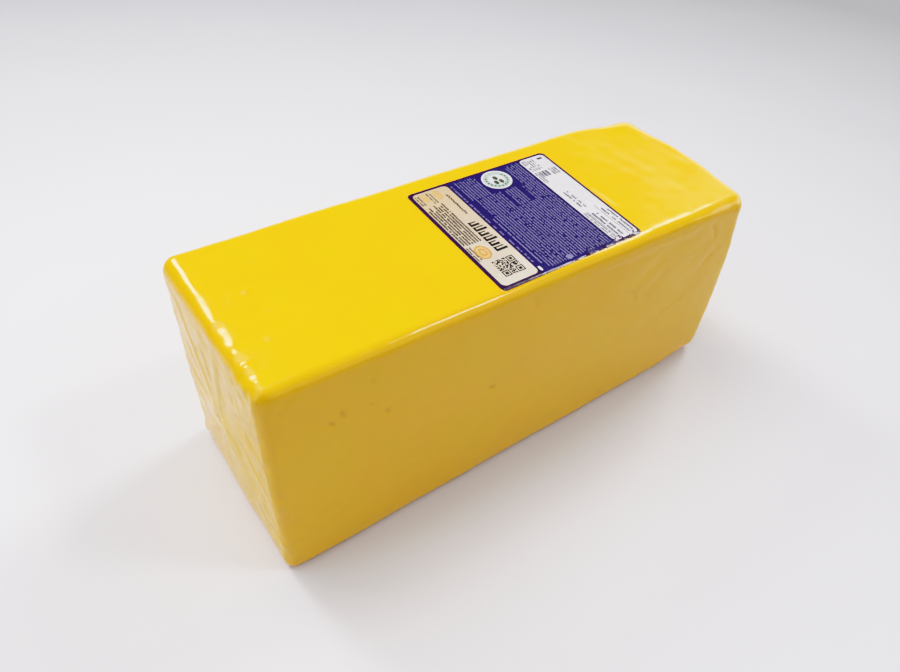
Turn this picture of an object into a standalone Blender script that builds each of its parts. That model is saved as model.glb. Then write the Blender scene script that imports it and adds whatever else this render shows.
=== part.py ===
"""A block of gouda in tight shrink film, lying on its long base, with a printed label on its top.

X runs along the block, the gathered end that shows being at -X. Y runs across it, the front being at -Y,
and Z runs up from the base, which lies at Z = 0. The origin is under the middle of the block.
"""
import math
from collections import namedtuple

import bmesh
import bpy
import numpy as np

# Driving dimensions of the block, in metres
BLOCK_LENGTH = 0.300
BLOCK_WIDTH = 0.107
BLOCK_HEIGHT = 0.120
EDGE_RADIUS = 0.006
CORNER_REACH = 0.045        # how far the rounding of a corner runs along its edges

# The eight corners: side on X, Y and Z, how far each is off the plain block, and its own radius
Corner = namedtuple("Corner", "side offset radius")
CORNERS = (
    Corner((-1, -1, -1), (0.0004, -0.0020, 0.0), 0.006),
    Corner((1, -1, -1), (0.0006, 0.0001, 0.0), 0.011),
    Corner((-1, 1, -1), (0.0003, 0.0009, 0.0), 0.012),
    Corner((1, 1, -1), (0.0, 0.0, 0.0), 0.008),
    Corner((-1, -1, 1), (-0.0006, 0.0005, 0.0003), 0.006),
    Corner((1, -1, 1), (-0.0023, 0.0012, -0.0030), 0.009),
    Corner((-1, 1, 1), (-0.0004, 0.0001, 0.0), 0.007),
    Corner((1, 1, 1), (0.0020, -0.0008, 0.0020), 0.014),
)

# Faces round the section and along the block
STEPS_ACROSS = 20
STEPS_UP = 20
STEPS_ALONG = 12
STEPS_FILLET = 5
STEPS_END = 8

# Film gathered on the two ends. Angles are in degrees, 0 towards +Y and 90 upwards
Pleat = namedtuple("Pleat", "angle height width")
End = namedtuple("End", "side gather seam pleats")
SEAM_HEIGHT = 0.0010
SEAM_WIDTH = 0.0030
PLEAT_EYE = 0.010           # radius round the gather inside which the pleats die out
PLEAT_SKEW = 0.45           # how much steeper a pleat is on its far side
PLEAT_AT_RIM = 0.35         # share of its height that a pleat keeps at the rim of the end
RIM_WAY = 0.22              # way from the rim to the gather over which it gains the rest
LEFT_END = End(
    side=-1,
    gather=(0.004, 0.056),
    seam=(132.0, 310.0),
    pleats=(
        Pleat(2.0, 0.0008, 0.0045),
        Pleat(30.0, 0.0005, 0.0040),
        Pleat(57.0, 0.0009, 0.0050),
        Pleat(80.0, 0.0005, 0.0040),
        Pleat(103.0, 0.0008, 0.0045),
        Pleat(158.0, 0.0009, 0.0050),
        Pleat(186.0, 0.0008, 0.0045),
        Pleat(212.0, 0.0009, 0.0050),
        Pleat(229.0, 0.0008, 0.0045),
        Pleat(258.0, 0.0006, 0.0050),
        Pleat(284.0, 0.0005, 0.0040),
        Pleat(335.0, 0.0007, 0.0045),
    ),
)
RIGHT_END = End(
    side=1,
    gather=(-0.003, 0.062),
    seam=(5.0, 184.0),
    pleats=(
        Pleat(28.0, 0.0006, 0.0050),
        Pleat(49.0, 0.0008, 0.0045),
        Pleat(76.0, 0.0008, 0.0045),
        Pleat(97.0, 0.0007, 0.0050),
        Pleat(126.0, 0.0008, 0.0045),
        Pleat(152.0, 0.0005, 0.0040),
        Pleat(207.0, 0.0008, 0.0050),
        Pleat(232.0, 0.0008, 0.0045),
        Pleat(262.0, 0.0006, 0.0045),
        Pleat(291.0, 0.0008, 0.0050),
        Pleat(318.0, 0.0008, 0.0045),
        Pleat(342.0, 0.0005, 0.0040),
    ),
)

# Ear of film where the seam runs off the far bottom corner of the left end
EAR_PLACE = (-0.1450, 0.0475, 0.0070)
EAR_HEIGHT = 0.0035
EAR_WIDTH = 0.0045

# Label, pressed on the top and bent over the front edge. Its corners are X and the way across the film
LABEL_CORNERS = ((-0.0287, -0.0497), (0.0638, -0.0482), (0.0663, 0.0386), (-0.0260, 0.0380))
LABEL_CORNER_RADIUS = 0.0050
LABEL_CORNER_STEPS = 5
LABEL_THICKNESS = 0.0003
LABEL_GAP = 0.0003
LABEL_CUTS_ALONG = 9
LABEL_CUTS_ACROSS = 8

# Finishes: linear base colour, roughness
FILM_COLOUR = (0.83, 0.50, 0.012)
FILM_ROUGHNESS = 0.22
LABEL_COLOUR = (0.045, 0.030, 0.190)
LABEL_ROUGHNESS = 0.30

HALF_LENGTH = BLOCK_LENGTH / 2
HALF_WIDTH = BLOCK_WIDTH / 2
HALF_HEIGHT = BLOCK_HEIGHT / 2
HALVES = np.array((HALF_LENGTH, HALF_WIDTH, HALF_HEIGHT))
INNER = HALVES - EDGE_RADIUS


def clear_scene():
    """Remove what the start-up file holds."""
    for thing in list(bpy.data.objects):
        bpy.data.objects.remove(thing, do_unlink=True)


def make_collection(name):
    """Return a new collection that hangs in the scene."""
    collection = bpy.data.collections.new(name)
    bpy.context.scene.collection.children.link(collection)
    return collection


def make_material(name, colour, roughness):
    """Return a plain Principled material."""
    material = bpy.data.materials.new(name)
    material.use_nodes = True
    shader = material.node_tree.nodes["Principled BSDF"]
    shader.inputs["Base Color"].default_value = (*colour, 1.0)
    shader.inputs["Roughness"].default_value = roughness
    shader.inputs["Metallic"].default_value = 0.0
    return material


def smooth_falloff(distance, reach):
    """Return 1 at no distance, easing to 0 at reach."""
    left = np.clip(1.0 - distance / reach, 0.0, 1.0)
    return left * left * (3.0 - 2.0 * left)


def film_points(place, direction, lift=0.0):
    """Return points on the film.

    place holds three values from -1 to 1, the way through the block's core on each axis, and
    direction the unit vector that points out of the film there. The core is the block less its edge
    radius, so a point is the core point plus the radius along the direction.
    """
    radius = np.full(place.shape[:-1], EDGE_RADIUS)
    offset = np.zeros(place.shape)
    for corner in CORNERS:
        side = np.array(corner.side)
        distance = np.linalg.norm((place - side) * INNER, axis=-1)
        radius += (corner.radius - EDGE_RADIUS) * smooth_falloff(distance, CORNER_REACH)
        share = np.prod(1.0 + place * side, axis=-1) / 8.0
        offset += share[..., None] * np.array(corner.offset)
    core = place * (HALVES - radius[..., None]) + offset
    core[..., 2] += HALF_HEIGHT
    return core + (radius + lift)[..., None] * direction


def pleat_height(across, along, pleat):
    """Return the height of one fold of film at a distance across and along its line."""
    steep = np.where(across > 0.0, 1.0 - PLEAT_SKEW, 1.0 + PLEAT_SKEW)
    ridge = np.exp(-(across / (pleat.width * steep)) ** 2)
    return pleat.height * ridge * (along > 0.0)


def end_relief(points, end):
    """Return how far the gathered film stands proud at points of an end face."""
    right = points[..., 1] - end.gather[0]
    up = points[..., 2] - end.gather[1]
    reach = np.hypot(right, up)
    relief = np.zeros(reach.shape)
    for pleat in end.pleats:
        turn = math.radians(pleat.angle)
        along = right * math.cos(turn) + up * math.sin(turn)
        across = up * math.cos(turn) - right * math.sin(turn)
        relief += pleat_height(across, along, pleat)
    relief *= 1.0 - smooth_falloff(reach, PLEAT_EYE)
    for angle in end.seam:
        turn = math.radians(angle)
        along = right * math.cos(turn) + up * math.sin(turn)
        across = up * math.cos(turn) - right * math.sin(turn)
        seam = SEAM_HEIGHT * np.exp(-(across / SEAM_WIDTH) ** 4) * (along > 0.0)
        relief = np.maximum(relief, seam)
    return relief


def ear_relief(points):
    """Return how far the ear of film stands out of the corner."""
    distance = np.linalg.norm(points - np.array(EAR_PLACE), axis=-1)
    return EAR_HEIGHT * np.exp(-(distance / EAR_WIDTH) ** 2)


def section_loop():
    """Return the places on Y and Z and the direction angle of each point round the section."""
    fillet = np.linspace(0.0, 90.0, STEPS_FILLET + 1)[1:-1]
    across = np.linspace(-1.0, 1.0, STEPS_ACROSS + 1)
    up = np.linspace(-1.0, 1.0, STEPS_UP + 1)
    ones_across = np.ones(across.size)
    ones_up = np.ones(up.size)
    runs = (
        (ones_up, up, 0.0),
        (across[::-1], ones_across, 90.0),
        (-ones_up, up[::-1], 180.0),
        (across, -ones_across, 270.0),
    )
    rows = []
    for y_place, z_place, angle in runs:
        rows += list(zip(y_place, z_place, np.full(y_place.size, angle)))
        rows += [(y_place[-1], z_place[-1], angle + step) for step in fillet]
    return np.array(rows).T


def block_rings():
    """Return the place on X, the tilt towards the ends and the way to the gather, for each ring."""
    fillet = np.linspace(0.0, 90.0, STEPS_FILLET + 1)[1:]
    closing = np.linspace(0.0, 1.0, STEPS_END + 1)[1:-1]
    rings = [(-1.0, -90.0, way) for way in closing[::-1]]
    rings += [(-1.0, -tilt, 0.0) for tilt in fillet[::-1]]
    rings += [(x_place, 0.0, 0.0) for x_place in np.linspace(-1.0, 1.0, STEPS_ALONG + 1)]
    rings += [(1.0, tilt, 0.0) for tilt in fillet]
    rings += [(1.0, 90.0, way) for way in closing]
    return np.array(rings)


def gather_place(end):
    """Return the gather of an end as a place in the core."""
    y_place = end.gather[0] / INNER[1]
    z_place = (end.gather[1] - HALF_HEIGHT) / INNER[2]
    return np.array((float(end.side), y_place, z_place))


def ring_points(x_place, tilt, way):
    """Return the points of one ring of the block's film, with its relief."""
    y_place, z_place, angle = section_loop()
    tilt = math.radians(tilt)
    angle = np.radians(angle)
    place = np.stack((np.full(y_place.size, x_place), y_place, z_place), axis=-1)
    end = LEFT_END if x_place < 0.0 else RIGHT_END
    place += way * (gather_place(end) - place)
    direction = np.stack((
        np.full(angle.size, math.sin(tilt)),
        math.cos(tilt) * np.cos(angle),
        math.cos(tilt) * np.sin(angle),
    ), axis=-1)
    points = film_points(place, direction)
    rim = 1.0 - (1.0 - PLEAT_AT_RIM) * smooth_falloff(way, RIM_WAY)
    lift = ear_relief(points) + end_relief(points, end) * rim * abs(math.sin(tilt))
    points = points + lift[:, None] * direction
    points[:, 2] = np.maximum(points[:, 2], 0.0)
    return points


def pole_point(end):
    """Return the point where the pleats of an end meet."""
    direction = np.array((float(end.side), 0.0, 0.0))
    return film_points(gather_place(end), direction)


def make_block(collection, material):
    """Loft the film of the block through its rings and close it at both gathers."""
    rings = [ring_points(*ring) for ring in block_rings()]
    around = len(rings[0])
    vertices = np.concatenate(rings + [pole_point(LEFT_END)[None], pole_point(RIGHT_END)[None]])
    left_pole = around * len(rings)
    right_pole = left_pole + 1
    faces = []
    for ring in range(len(rings) - 1):
        for spoke in range(around):
            after = (spoke + 1) % around
            start = ring * around
            faces.append((start + spoke, start + after, start + around + after, start + around + spoke))
    last = around * (len(rings) - 1)
    for spoke in range(around):
        after = (spoke + 1) % around
        faces.append((left_pole, after, spoke))
        faces.append((right_pole, last + spoke, last + after))
    mesh = bpy.data.meshes.new("gouda_block")
    mesh.from_pydata(vertices.tolist(), [], faces)
    mesh.validate()
    mesh.shade_smooth()
    mesh.materials.append(material)
    block = bpy.data.objects.new("gouda_block", mesh)
    collection.objects.link(block)
    return block


def rounded_outline(corners, radius, steps):
    """Return the outline of a four-sided sheet with its corners rounded by arcs."""
    outline = []
    count = len(corners)
    for index in range(count):
        here = np.array(corners[index])
        before = np.array(corners[index - 1]) - here
        after = np.array(corners[(index + 1) % count]) - here
        before /= np.linalg.norm(before)
        after /= np.linalg.norm(after)
        half = math.acos(float(before @ after)) / 2
        middle = (before + after) / np.linalg.norm(before + after)
        centre = here + middle * radius / math.sin(half)
        start = here + before * radius / math.tan(half) - centre
        sweep = math.pi - 2 * half
        for step in range(steps + 1):
            turn = sweep * step / steps
            spoke = (
                start[0] * math.cos(turn) - start[1] * math.sin(turn),
                start[0] * math.sin(turn) + start[1] * math.cos(turn),
            )
            outline.append(centre + np.array(spoke))
    return outline


def sheet_to_film(flat, lift):
    """Lay flat points, X and the way across, on the top film, bent over its front edge."""
    x_place = flat[:, 0] / INNER[0]
    y_place = flat[:, 1] / INNER[1]
    over = np.maximum(-1.0 - y_place, 0.0) * INNER[1]
    bend = over / EDGE_RADIUS
    place = np.stack((x_place, np.maximum(y_place, -1.0), np.ones(len(flat))), axis=-1)
    direction = np.stack((np.zeros(len(flat)), -np.sin(bend), np.cos(bend)), axis=-1)
    return film_points(place, direction, lift)


def label_cut_lines():
    """Return the lines that divide the flat label: a point and a normal for each."""
    corners = np.array(LABEL_CORNERS)
    left, near = corners.min(axis=0)
    right, far = corners.max(axis=0)
    lines = []
    for x_cut in np.linspace(left, right, LABEL_CUTS_ALONG + 2)[1:-1]:
        lines.append(((x_cut, 0.0, 0.0), (1.0, 0.0, 0.0)))
    for y_cut in np.linspace(-INNER[1], far, LABEL_CUTS_ACROSS + 2)[:-1]:
        lines.append(((0.0, y_cut, 0.0), (0.0, 1.0, 0.0)))
    bend_step = EDGE_RADIUS * math.radians(90.0 / STEPS_FILLET)
    bend_cut = -INNER[1] - bend_step
    while bend_cut > near:
        lines.append(((0.0, bend_cut, 0.0), (0.0, 1.0, 0.0)))
        bend_cut -= bend_step
    return lines


def make_label(collection, material):
    """Cut the label from a flat sheet, divide it, bend it over the block and give it thickness."""
    shape = bmesh.new()
    outline = rounded_outline(LABEL_CORNERS, LABEL_CORNER_RADIUS, LABEL_CORNER_STEPS)
    shape.faces.new([shape.verts.new((x, y, 0.0)) for x, y in outline])
    for point, normal in label_cut_lines():
        everything = list(shape.verts) + list(shape.edges) + list(shape.faces)
        bmesh.ops.bisect_plane(shape, geom=everything, plane_co=point, plane_no=normal)
    flat = np.array([vertex.co[:2] for vertex in shape.verts])
    lift = np.full(len(flat), LABEL_GAP)
    for vertex, point in zip(shape.verts, sheet_to_film(flat, lift)):
        vertex.co = point
    mesh = bpy.data.meshes.new("label")
    shape.to_mesh(mesh)
    shape.free()
    mesh.shade_smooth()
    mesh.materials.append(material)
    label = bpy.data.objects.new("label", mesh)
    collection.objects.link(label)
    wall = label.modifiers.new("thickness", "SOLIDIFY")
    wall.thickness = LABEL_THICKNESS
    wall.offset = 1.0
    return label


def centre_on_base(objects):
    """Slide the meshes so that the box round the whole stands on the origin."""
    points = np.array([vertex.co for thing in objects for vertex in thing.data.vertices])
    middle = (points.min(axis=0) + points.max(axis=0)) / 2
    for thing in objects:
        for vertex in thing.data.vertices:
            vertex.co.x -= middle[0]
            vertex.co.y -= middle[1]


def main():
    """Model the block in its film and the label."""
    clear_scene()
    collection = make_collection("gouda")
    film = make_material("yellow_film", FILM_COLOUR, FILM_ROUGHNESS)
    print_finish = make_material("label_print", LABEL_COLOUR, LABEL_ROUGHNESS)
    block = make_block(collection, film)
    label = make_label(collection, print_finish)
    centre_on_base((block, label))


main()
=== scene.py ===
"""Looks of a block of gouda: yellow shrink film gathered on both ends, and a printed label on its top.

X runs along the block, from the gathered end that shows. Y runs across it, the front being at -Y, and Z
runs up from the base. Forms are worked out in the block's own frame, and the whole is then slid onto the
solids.
"""
import logging
import math
from dataclasses import dataclass, field
from enum import Enum

import bmesh
import bpy
import numpy as np
from mathutils import Matrix, Vector


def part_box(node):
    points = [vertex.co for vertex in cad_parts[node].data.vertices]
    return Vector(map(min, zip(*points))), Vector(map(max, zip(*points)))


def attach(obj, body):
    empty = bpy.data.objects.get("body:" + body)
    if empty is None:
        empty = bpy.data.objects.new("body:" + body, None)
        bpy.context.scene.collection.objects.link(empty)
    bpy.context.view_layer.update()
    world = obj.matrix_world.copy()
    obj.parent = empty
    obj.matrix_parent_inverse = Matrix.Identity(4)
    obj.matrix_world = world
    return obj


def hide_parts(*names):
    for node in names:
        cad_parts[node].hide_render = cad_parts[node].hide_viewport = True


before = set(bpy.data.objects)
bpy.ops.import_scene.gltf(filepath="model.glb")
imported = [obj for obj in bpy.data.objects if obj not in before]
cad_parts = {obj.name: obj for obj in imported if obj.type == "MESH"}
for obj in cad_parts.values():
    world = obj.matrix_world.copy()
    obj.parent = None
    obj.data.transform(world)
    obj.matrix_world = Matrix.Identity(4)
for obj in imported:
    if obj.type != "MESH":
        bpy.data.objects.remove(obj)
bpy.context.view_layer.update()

LOG = logging.getLogger("gouda_block")
MM = 0.001
MERGE_DISTANCE = 0.001 * MM

# Shortest and longest wave of soft noise, as shares of its wavelength.
NOISE_WAVES = (0.67, 1.5)

# How far film turns to a side, from 0 to 1, where that side's marks start and where they are full.
SIDE_FACING = (0.35, 0.9)

# Short names of types. A pair is a range or a flat place, and a triple is a place or a linear colour.
Array = np.ndarray
Pair = tuple[float, float]
Triple = tuple[float, float, float]
Object = bpy.types.Object
Material = bpy.types.Material
Tree = bpy.types.NodeTree
Socket = bpy.types.NodeSocket


def smooth_falloff(distance: Array, reach: float) -> Array:
    """Return 1 at no distance, easing to 0 at reach.

    Args:
        distance: distances, in the same unit as reach.
        reach: where the falloff ends.

    Returns:
        s * s * (3 - 2 * s), where s is the share of the reach that is left, held between 0 and 1.
    """
    left = np.clip(1.0 - distance / reach, 0.0, 1.0)
    return left * left * (3.0 - 2.0 * left)


def smooth_rise(value: Array, low: float, high: float) -> Array:
    """Return 0 below low and 1 above high, easing between them as smooth_falloff does."""
    return 1.0 - smooth_falloff(value - low, high - low)


def stacked(*parts: Array | float) -> Array:
    """Return arrays side by side on a new last axis, all stretched to one shape."""
    return np.stack(np.broadcast_arrays(*parts), axis=-1)


def soft_noise(points: Array, wavelength: float, seed: int, waves: int = 28) -> Array:
    """Return soft noise about 0, with a spread of about 1.

    Args:
        points: places in space, in metres, with X, Y and Z on the last axis.
        wavelength: typical distance from crest to crest, in metres.
        seed: seed of the draw of waves.
        waves: how many plane waves are added up.

    Returns:
        The sum of plane sine waves in random directions, with wavelengths spread about the given one,
        over the square root of half their number.
    """
    draw = np.random.default_rng(seed)
    ways = draw.normal(size=(waves, 3))
    ways /= np.linalg.norm(ways, axis=1, keepdims=True)
    ways *= 2.0 * math.pi / (wavelength * draw.uniform(*NOISE_WAVES, (waves, 1)))
    phases = draw.uniform(0.0, 2.0 * math.pi, waves)
    total = np.zeros(points.shape[:-1])
    for way, phase in zip(ways, phases):
        total += np.sin(points @ way + phase)
    return total / math.sqrt(waves / 2.0)


def add_object(name: str, data: bpy.types.ID) -> Object:
    """Put a mesh, a light or a camera in the scene.

    Args:
        name: name of its object.
        data: the mesh, light or camera.

    Returns:
        The object.
    """
    thing = bpy.data.objects.new(name, data)
    bpy.context.scene.collection.objects.link(thing)
    return thing


def make_piece(name: str, vertices: Array, faces: list, material: Material) -> Object:
    """Return a smooth mesh object at the origin.

    Args:
        name: name of the piece.
        vertices: points in metres, one row each.
        faces: corner numbers of each face.
        material: its finish.

    Returns:
        The object, linked to the scene and riding on the frame's one body.
    """
    mesh = bpy.data.meshes.new(name)
    mesh.from_pydata(vertices.tolist(), [], faces)
    mesh.validate()
    mesh.shade_smooth()
    mesh.materials.append(material)
    piece = add_object(name, mesh)
    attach(piece, "root")
    LOG.info("%s: %d vertices, %d faces", name, len(mesh.vertices), len(mesh.polygons))
    return piece


def give_attribute(piece: Object, name: str, values: Array) -> None:
    """Store one number for each vertex of a piece, for its material to read."""
    attribute = piece.data.attributes.new(name, "FLOAT", "POINT")
    attribute.data.foreach_set("value", values.astype(np.float32).ravel())


def merge_doubles(piece: Object) -> None:
    """Make one vertex of those that share a place, such as a rounded edge's where it runs out on an end.

    Args:
        piece: the piece to clean.
    """
    work = bmesh.new()
    work.from_mesh(piece.data)
    bmesh.ops.remove_doubles(work, verts=work.verts, dist=MERGE_DISTANCE)
    work.to_mesh(piece.data)
    work.free()


@dataclass(frozen=True)
class Corner:
    """One corner of the block: its side on X, Y and Z, its offset from the plain block and its radius."""

    side: tuple[int, int, int]
    offset: Triple
    radius: float


@dataclass(frozen=True)
class BlockForm:
    """The bare form of the block, as the frame's solid has it, with its origin under its own middle."""

    length: float = 0.300
    width: float = 0.107
    height: float = 0.120
    edge_radius: float = 0.006
    corner_reach: float = 0.045
    corners: tuple[Corner, ...] = (
        Corner((-1, -1, -1), (0.0004, -0.0020, 0.0), 0.006),
        Corner((1, -1, -1), (0.0006, 0.0001, 0.0), 0.011),
        Corner((-1, 1, -1), (0.0003, 0.0009, 0.0), 0.012),
        Corner((1, 1, -1), (0.0, 0.0, 0.0), 0.008),
        Corner((-1, -1, 1), (-0.0006, 0.0005, 0.0003), 0.006),
        Corner((1, -1, 1), (-0.0023, 0.0012, -0.0030), 0.009),
        Corner((-1, 1, 1), (-0.0004, 0.0001, 0.0), 0.007),
        Corner((1, 1, 1), (0.0020, -0.0008, 0.0020), 0.014),
    )

    @property
    def halves(self) -> Array:
        """Half the block's size on each axis."""
        return np.array((self.length, self.width, self.height)) / 2.0

    @property
    def inner(self) -> Array:
        """Half the size of the core, which is the block less its edge radius."""
        return self.halves - self.edge_radius

    def points(self, place: Array, direction: Array, lift: Array | float = 0.0) -> Array:
        """Return points on the film.

        A point is a point of the core, which is the block less its edge radius, plus the radius and the
        lift along the direction. Near a corner the radius turns into the corner's own, and the corner's
        offset fades in a straight line towards the other corners.

        Args:
            place: the way through the core, from -1 to 1 on each axis.
            direction: the unit vector out of the film.
            lift: height above the bare form, in metres.

        Returns:
            Points in metres.
        """
        radius = np.full(place.shape[:-1], self.edge_radius)
        offset = np.zeros(place.shape)
        for corner in self.corners:
            side = np.array(corner.side)
            distance = np.linalg.norm((place - side) * self.inner, axis=-1)
            radius += (corner.radius - self.edge_radius) * smooth_falloff(distance, self.corner_reach)
            share = np.prod(1.0 + place * side, axis=-1) / 8.0
            offset += share[..., None] * np.array(corner.offset)
        core = place * (self.halves - radius[..., None]) + offset
        core[..., 2] += self.height / 2.0
        return core + (radius + lift)[..., None] * direction

    def sheet_points(self, flat: Array, lift: Array | float) -> Array:
        """Return flat points laid on the top film and bent over its front edge.

        The way across beyond the core's front bends round the edge radius, at one radian for each radius.

        Args:
            flat: X and the way across the film, in metres, on the last axis.
            lift: height above the bare form, in metres.

        Returns:
            Points in metres.
        """
        x_place = flat[..., 0] / self.inner[0]
        y_place = flat[..., 1] / self.inner[1]
        bend = np.maximum(-1.0 - y_place, 0.0) * self.inner[1] / self.edge_radius
        place = stacked(x_place, np.maximum(y_place, -1.0), 1.0)
        direction = stacked(0.0, -np.sin(bend), np.cos(bend))
        return self.points(place, direction, lift)


@dataclass(frozen=True)
class Pleat:
    """A fold of film that runs out from the gather: its angle in degrees, its height and its width."""

    angle: float
    height: float
    width: float

    @staticmethod
    def rows(*rows: Triple) -> tuple["Pleat", ...]:
        """Return pleats from rows of their values."""
        return tuple(Pleat(*row) for row in rows)


@dataclass(frozen=True)
class EndGather:
    """The film gathered on one end of the block. Angles are in degrees, 0 towards +Y and 90 upwards."""

    side: int
    gather: Pair
    seam: Pair
    pleats: tuple[Pleat, ...]
    seed: int
    seam_height: float = 0.20 * MM
    seam_width: float = 3.5 * MM
    pleat_share: float = 0.65
    pleat_eye: float = 10 * MM
    pleat_skew: float = 0.45
    pleat_at_rim: float = 0.12
    rim_way: float = 0.35
    wrinkles: int = 56
    wrinkle_heights: Pair = (0.04 * MM, 0.15 * MM)
    wrinkle_widths: Pair = (1.4 * MM, 4.2 * MM)
    wrinkle_starts: Pair = (9 * MM, 46 * MM)
    wrinkle_lengths: Pair = (12 * MM, 42 * MM)
    wrinkle_shift: float = 5 * MM
    wrinkle_shake: float = 0.9
    wrinkle_signs: tuple[float, ...] = (1.0, 1.0, -0.7)
    wrinkle_rise: float = 0.3
    wrinkle_fall: float = 0.5

    def split(self, points: Array, angle: float) -> tuple[Array, Array]:
        """Measure points against a line that leaves the gather.

        Args:
            points: places in metres.
            angle: the line's angle in degrees.

        Returns:
            How far the points lie along the line and across it.
        """
        turn = math.radians(angle)
        right = points[..., 1] - self.gather[0]
        up = points[..., 2] - self.gather[1]
        along = right * math.cos(turn) + up * math.sin(turn)
        across = up * math.cos(turn) - right * math.sin(turn)
        return along, across

    def pleat_relief(self, points: Array) -> Array:
        """Return the height of the large folds and of the seam, a little softer than on the solid.

        A fold is a bell curve across its line, steeper on one side. The seam is an even bell.

        Args:
            points: places on the bare film, in metres.

        Returns:
            Heights in metres.
        """
        relief = np.zeros(points.shape[:-1])
        for pleat in self.pleats:
            along, across = self.split(points, pleat.angle)
            steep = np.where(across > 0.0, 1.0 - self.pleat_skew, 1.0 + self.pleat_skew)
            relief += pleat.height * np.exp(-(across / (pleat.width * steep)) ** 2) * (along > 0.0)
        reach = np.hypot(points[..., 1] - self.gather[0], points[..., 2] - self.gather[1])
        relief *= self.pleat_share * (1.0 - smooth_falloff(reach, self.pleat_eye))
        for angle in self.seam:
            along, across = self.split(points, angle)
            seam = self.seam_height * np.exp(-(across / self.seam_width) ** 2) * (along > 0.0)
            relief = np.maximum(relief, seam)
        return relief

    def wrinkle_relief(self, points: Array) -> Array:
        """Return the height of the fine wrinkles between the folds.

        Each is a narrow bell curve across a line that leaves the gather, slid a little sideways, and it
        fades in at its start and out at its end. Their angles are spread evenly and then shaken.

        Args:
            points: places on the bare film, in metres.

        Returns:
            Heights in metres.
        """
        draw = np.random.default_rng(self.seed)
        count = self.wrinkles
        shake = draw.uniform(-self.wrinkle_shake, self.wrinkle_shake, count)
        angles = (np.arange(count) + shake) * 360.0 / count
        heights = draw.uniform(*self.wrinkle_heights, count) * draw.choice(self.wrinkle_signs, count)
        widths = draw.uniform(*self.wrinkle_widths, count)
        starts = draw.uniform(*self.wrinkle_starts, count)
        lengths = draw.uniform(*self.wrinkle_lengths, count)
        shifts = draw.uniform(-self.wrinkle_shift, self.wrinkle_shift, count)
        relief = np.zeros(points.shape[:-1])
        wrinkles = zip(angles, heights, widths, starts, lengths, shifts)
        for angle, height, width, start, length, shift in wrinkles:
            along, across = self.split(points, angle)
            fall = self.wrinkle_fall * length
            fade = smooth_rise(along, start, start + self.wrinkle_rise * length)
            fade *= smooth_falloff(along - start - (length - fall), fall)
            relief += height * fade * np.exp(-((across - shift) / width) ** 2)
        return relief


LEFT_END = EndGather(
    side=-1,
    gather=(0.004, 0.056),
    seam=(132.0, 310.0),
    pleats=Pleat.rows(
        (2.0, 0.0008, 0.0045), (30.0, 0.0005, 0.0040), (57.0, 0.0009, 0.0050), (80.0, 0.0005, 0.0040),
        (103.0, 0.0008, 0.0045), (158.0, 0.0009, 0.0050), (186.0, 0.0008, 0.0045), (212.0, 0.0009, 0.0050),
        (229.0, 0.0008, 0.0045), (258.0, 0.0006, 0.0050), (284.0, 0.0005, 0.0040), (335.0, 0.0007, 0.0045),
    ),
    seed=11,
)
RIGHT_END = EndGather(
    side=1,
    gather=(-0.003, 0.062),
    seam=(5.0, 184.0),
    pleats=Pleat.rows(
        (28.0, 0.0006, 0.0050), (49.0, 0.0008, 0.0045), (76.0, 0.0008, 0.0045), (97.0, 0.0007, 0.0050),
        (126.0, 0.0008, 0.0045), (152.0, 0.0005, 0.0040), (207.0, 0.0008, 0.0050), (232.0, 0.0008, 0.0045),
        (262.0, 0.0006, 0.0045), (291.0, 0.0008, 0.0050), (318.0, 0.0008, 0.0045), (342.0, 0.0005, 0.0040),
    ),
    seed=23,
)


class Side(Enum):
    """Long sides of the block that carry marks, each with the direction out of it."""

    FRONT = (0.0, -1.0, 0.0)
    BACK = (0.0, 1.0, 0.0)
    TOP = (0.0, 0.0, 1.0)

    def flat(self, points: Array) -> Array:
        """Return X and the way up or across of points on this side."""
        return points[..., [0, 1 if self is Side.TOP else 2]]

    def faces(self, direction: Array) -> Array:
        """Return 1 where the film faces this way and 0 where it doesn't, easing over the edges."""
        return smooth_rise(direction @ np.array(self.value), *SIDE_FACING)


@dataclass(frozen=True)
class Mark:
    """A crease, ridge or pit in the film of a long side: a soft line from start to end, in millimetres."""

    side: Side
    start: Pair
    end: Pair
    height: float
    width: float
    # A pit's depth also paints shade into the film's colour.
    pit: bool = False

    @staticmethod
    def rows(side: Side, *rows: tuple) -> tuple["Mark", ...]:
        """Return marks of one side from rows of start, end, height and width, with True for a pit."""
        return tuple(Mark(side, row[:2], row[2:4], *row[4:]) for row in rows)

    def relief(self, points: Array, direction: Array) -> Array:
        """Return the height of the mark: a bell curve of the distance to its line.

        Args:
            points: places on the bare film, in metres.
            direction: the unit vectors out of the film.

        Returns:
            Heights in metres, below 0 for a crease or pit.
        """
        start = np.array(self.start) * MM
        line = np.array(self.end) * MM - start
        away = self.side.flat(points) - start
        way = np.clip(away @ line / (line @ line), 0.0, 1.0)
        distance = np.linalg.norm(away - way[..., None] * line, axis=-1)
        bell = np.exp(-(distance / (self.width * MM)) ** 2)
        return self.height * MM * bell * self.side.faces(direction)


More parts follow.
